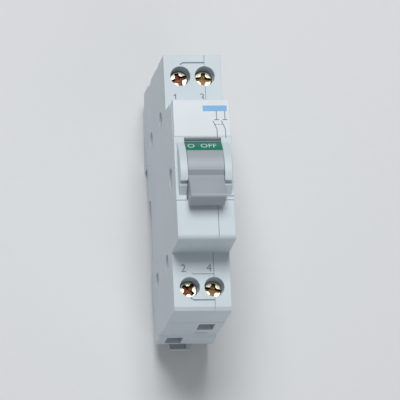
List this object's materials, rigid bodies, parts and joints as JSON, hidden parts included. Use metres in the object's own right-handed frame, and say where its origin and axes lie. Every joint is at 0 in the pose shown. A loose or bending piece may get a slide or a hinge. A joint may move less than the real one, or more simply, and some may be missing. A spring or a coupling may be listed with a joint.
{
  "type": "din rail switch disconnector",
  "caption": "Slim two-pole switch disconnector for a top-hat rail, with a rocking lever, screw cage terminals at both ends and a sprung rail clip.",
  "frame": {"origin": "middle of the rail seat, on the front plane of the rail's flanges, on the module's middle plane", "axes": "+X across the module to the right, +Y along the module to its top terminals, +Z out of the front"},
  "size_m": [0.0178, 0.0828, 0.0723],
  "materials": {
    "housing_plastic": "light grey moulded plastic, fine satin",
    "label_plastic": "off-white moulded plastic, satin",
    "toggle_plastic": "mid grey moulded plastic, satin",
    "green_plastic": "green moulded insert",
    "red_plastic": "red moulded insert",
    "dark_plastic": "dark grey heat-resistant plastic",
    "clip_plastic": "light grey moulded plastic",
    "rivet_steel": "zinc-plated steel",
    "bright_steel": "ground steel",
    "spring_steel": "drawn spring wire",
    "zinc_steel": "zinc-plated steel",
    "screw_steel": "yellow passivated zinc-plated steel",
    "copper": "bare copper"
  },
  "bodies": {
    "housing": {"housing_left": "housing_plastic", "housing_right": "housing_plastic", "label_cap": "label_plastic", "rivets": "rivet_steel", "pole_barrier": "dark_plastic", "pivot_pin": "bright_steel", "fixed_contact_1": "copper", "fixed_contact_2": "copper", "fixed_contact_3": "copper", "fixed_contact_4": "copper", "clip_spring": "spring_steel"},
    "toggle": {"toggle": "toggle_plastic", "drive_pin": "bright_steel", "flag_off": "green_plastic", "flag_on": "red_plastic", "toggle_spring": "spring_steel"},
    "carrier": {"contact_carrier": "dark_plastic", "contact_spring_1": "spring_steel", "contact_spring_2": "spring_steel"},
    "bridge_1": {"moving_contact_1": "copper"},
    "bridge_2": {"moving_contact_2": "copper"},
    "clip": {"rail_clip": "clip_plastic"},
    "screw_1": {"terminal_screw_1": "screw_steel"},
    "cage_1": {"terminal_cage_1": "zinc_steel"},
    "screw_2": {"terminal_screw_2": "screw_steel"},
    "cage_2": {"terminal_cage_2": "zinc_steel"},
    "screw_3": {"terminal_screw_3": "screw_steel"},
    "cage_3": {"terminal_cage_3": "zinc_steel"},
    "screw_4": {"terminal_screw_4": "screw_steel"},
    "cage_4": {"terminal_cage_4": "zinc_steel"}
  },
  "joints": [
    {"name": "toggle_hinge", "type": "hinge", "parent": "housing", "child": "toggle", "pos_m": [0, 0, 0.0524], "axis": [-1, 0, 0], "range_deg": [0, 82], "deforming": ["toggle_spring"]},
    {"name": "carrier_slide", "type": "slide", "parent": "housing", "child": "carrier", "axis": [0, 0, -1], "range_m": [0, 0.00604]},
    {"name": "bridge_1_slide", "type": "slide", "parent": "carrier", "child": "bridge_1", "axis": [0, 0, 1], "range_m": [0, 0.00061], "deforming": ["contact_spring_1"]},
    {"name": "bridge_2_slide", "type": "slide", "parent": "carrier", "child": "bridge_2", "axis": [0, 0, 1], "range_m": [0, 0.00061], "deforming": ["contact_spring_2"]},
    {"name": "screw_1_turn", "type": "hinge", "parent": "housing", "child": "screw_1", "pos_m": [-0.0038, 0.0339, 0.04], "axis": [0, 0, 1], "range_deg": [-2476, 0]},
    {"name": "cage_1_rise", "type": "slide", "parent": "housing", "child": "cage_1", "axis": [0, 0, 1], "range_m": [0, 0.0055]},
    {"name": "screw_2_turn", "type": "hinge", "parent": "housing", "child": "screw_2", "pos_m": [-0.0038, -0.0332, 0.04], "axis": [0, 0, 1], "range_deg": [-2476, 0]},
    {"name": "cage_2_rise", "type": "slide", "parent": "housing", "child": "cage_2", "axis": [0, 0, 1], "range_m": [0, 0.0055]},
    {"name": "screw_3_turn", "type": "hinge", "parent": "housing", "child": "screw_3", "pos_m": [0.0038, 0.0339, 0.04], "axis": [0, 0, 1], "range_deg": [-2476, 0]},
    {"name": "cage_3_rise", "type": "slide", "parent": "housing", "child": "cage_3", "axis": [0, 0, 1], "range_m": [0, 0.0055]},
    {"name": "screw_4_turn", "type": "hinge", "parent": "housing", "child": "screw_4", "pos_m": [0.0038, -0.0332, 0.04], "axis": [0, 0, 1], "range_deg": [-2476, 0]},
    {"name": "cage_4_rise", "type": "slide", "parent": "housing", "child": "cage_4", "axis": [0, 0, 1], "range_m": [0, 0.0055]},
    {"name": "clip_slide", "type": "slide", "parent": "housing", "child": "clip", "axis": [0, -1, 0], "range_m": [0, 0.005], "stiffness_N_per_m": 300, "springref_m": -0.003, "deforming": ["clip_spring"]}
  ],
  "couplings": [
    {"joint": "carrier_slide", "follows": "toggle_hinge", "m_per_rad": 0.0042173},
    {"joint": "bridge_1_slide", "follows": "toggle_hinge", "m_per_rad": 0.00041924},
    {"joint": "bridge_2_slide", "follows": "toggle_hinge", "m_per_rad": 0.00041924},
    {"joint": "screw_1_turn", "follows": "cage_1_rise", "rad_per_m": -7854},
    {"joint": "screw_2_turn", "follows": "cage_2_rise", "rad_per_m": -7854},
    {"joint": "screw_3_turn", "follows": "cage_3_rise", "rad_per_m": -7854},
    {"joint": "screw_4_turn", "follows": "cage_4_rise", "rad_per_m": -7854}
  ]
}
